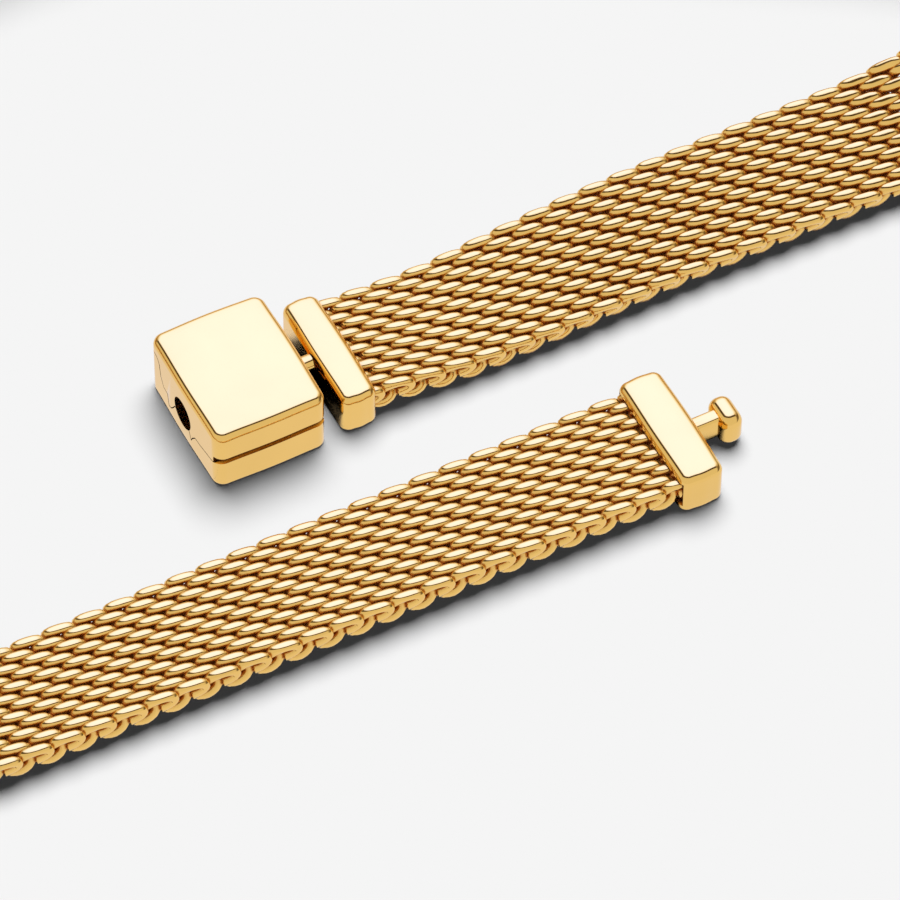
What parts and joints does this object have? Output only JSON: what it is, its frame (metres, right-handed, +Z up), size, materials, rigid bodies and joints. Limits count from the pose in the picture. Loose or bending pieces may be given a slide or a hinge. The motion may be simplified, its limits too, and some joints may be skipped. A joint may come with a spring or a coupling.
{
  "type": "mesh bracelet",
  "caption": "Woven metal mesh bracelet lying open, with a hinged box clasp at one end and a headed catch pin at the other.",
  "frame": {"origin": "under the middle of the closed clasp box, on the surface that the bracelet rests on", "axes": "+X along the two flat ends, from the clasp towards its band; +Y across, into the loop; +Z up from the resting surface"},
  "size_m": [0.0803, 0.0498, 0.0067],
  "materials": {
    "gold_mesh": "polished gold-plated woven wire",
    "polished_gold": "mirror-polished gold plate"
  },
  "bodies": {
    "bracelet": {"mesh_band": "gold_mesh", "clasp_base": "polished_gold", "hinge_pin": "polished_gold", "clasp_end_cap": "polished_gold", "pin_end_cap": "polished_gold"},
    "lid": {"clasp_lid": "polished_gold"}
  },
  "joints": [
    {"name": "lid_hinge", "type": "hinge", "parent": "bracelet", "child": "lid", "pos_m": [0, 0.00317, 0.0024], "axis": [-1, 0, 0], "range_deg": [0, 60]}
  ]
}
